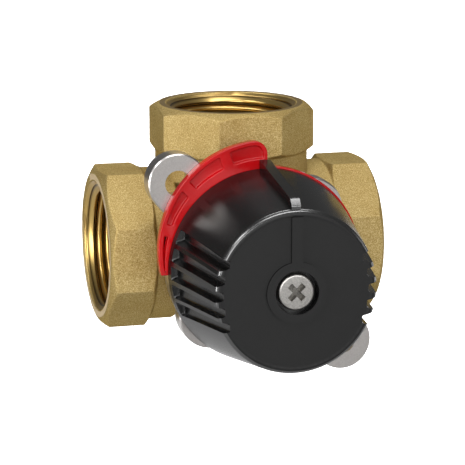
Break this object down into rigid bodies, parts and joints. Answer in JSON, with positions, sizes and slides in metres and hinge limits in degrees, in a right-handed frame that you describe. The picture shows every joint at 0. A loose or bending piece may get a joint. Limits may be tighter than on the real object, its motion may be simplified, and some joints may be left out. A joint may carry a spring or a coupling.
{
  "type": "mixing valve",
  "caption": "Three-way rotary mixing valve with internally threaded octagon ports, a lugged cover, a red scale ring and a black hand knob.",
  "frame": {"origin": "point where the axes of the three ports cross, on the spindle's axis", "axes": "+Z out of the top port, +X out of the right port, the spindle and knob point along -Y"},
  "size_m": [0.076, 0.0879, 0.0683],
  "materials": {
    "brass_cast": "sand-blasted brass casting with machined threads",
    "brass_turned": "turned brass, smooth",
    "zinc_plate": "die-cast zinc, fine matte",
    "steel_screw": "zinc-plated steel screw",
    "steel_pin": "bright steel",
    "scale_red": "glossy red moulding",
    "knob_black": "black moulding, glossy sides and satin face",
    "bush_plastic": "natural bearing plastic",
    "washer_plastic": "natural bearing plastic",
    "seal_rubber": "black sealing rubber"
  },
  "bodies": {
    "valve": {"valve_body": "brass_cast", "cover_plate": "zinc_plate", "cover_seal": "seal_rubber", "cover_screw_1": "steel_screw", "cover_screw_2": "steel_screw", "cover_screw_3": "steel_screw", "cover_screw_4": "steel_screw", "stop_pin_1": "steel_pin", "stop_pin_2": "steel_pin", "stem_bush": "bush_plastic", "rear_bush": "bush_plastic", "scale_ring": "scale_red"},
    "spindle": {"rotor": "brass_turned", "stem": "brass_turned", "drive_pin": "steel_pin", "stem_seal_1": "seal_rubber", "stem_seal_2": "seal_rubber", "front_washer": "washer_plastic", "rear_washer": "washer_plastic", "retaining_clip": "steel_pin", "knob": "knob_black", "knob_screw": "steel_screw"}
  },
  "joints": [
    {"name": "knob_turn", "type": "hinge", "parent": "valve", "child": "spindle", "pos_m": [0, 0, 0], "axis": [0, -1, 0], "range_deg": [0, 90]}
  ]
}
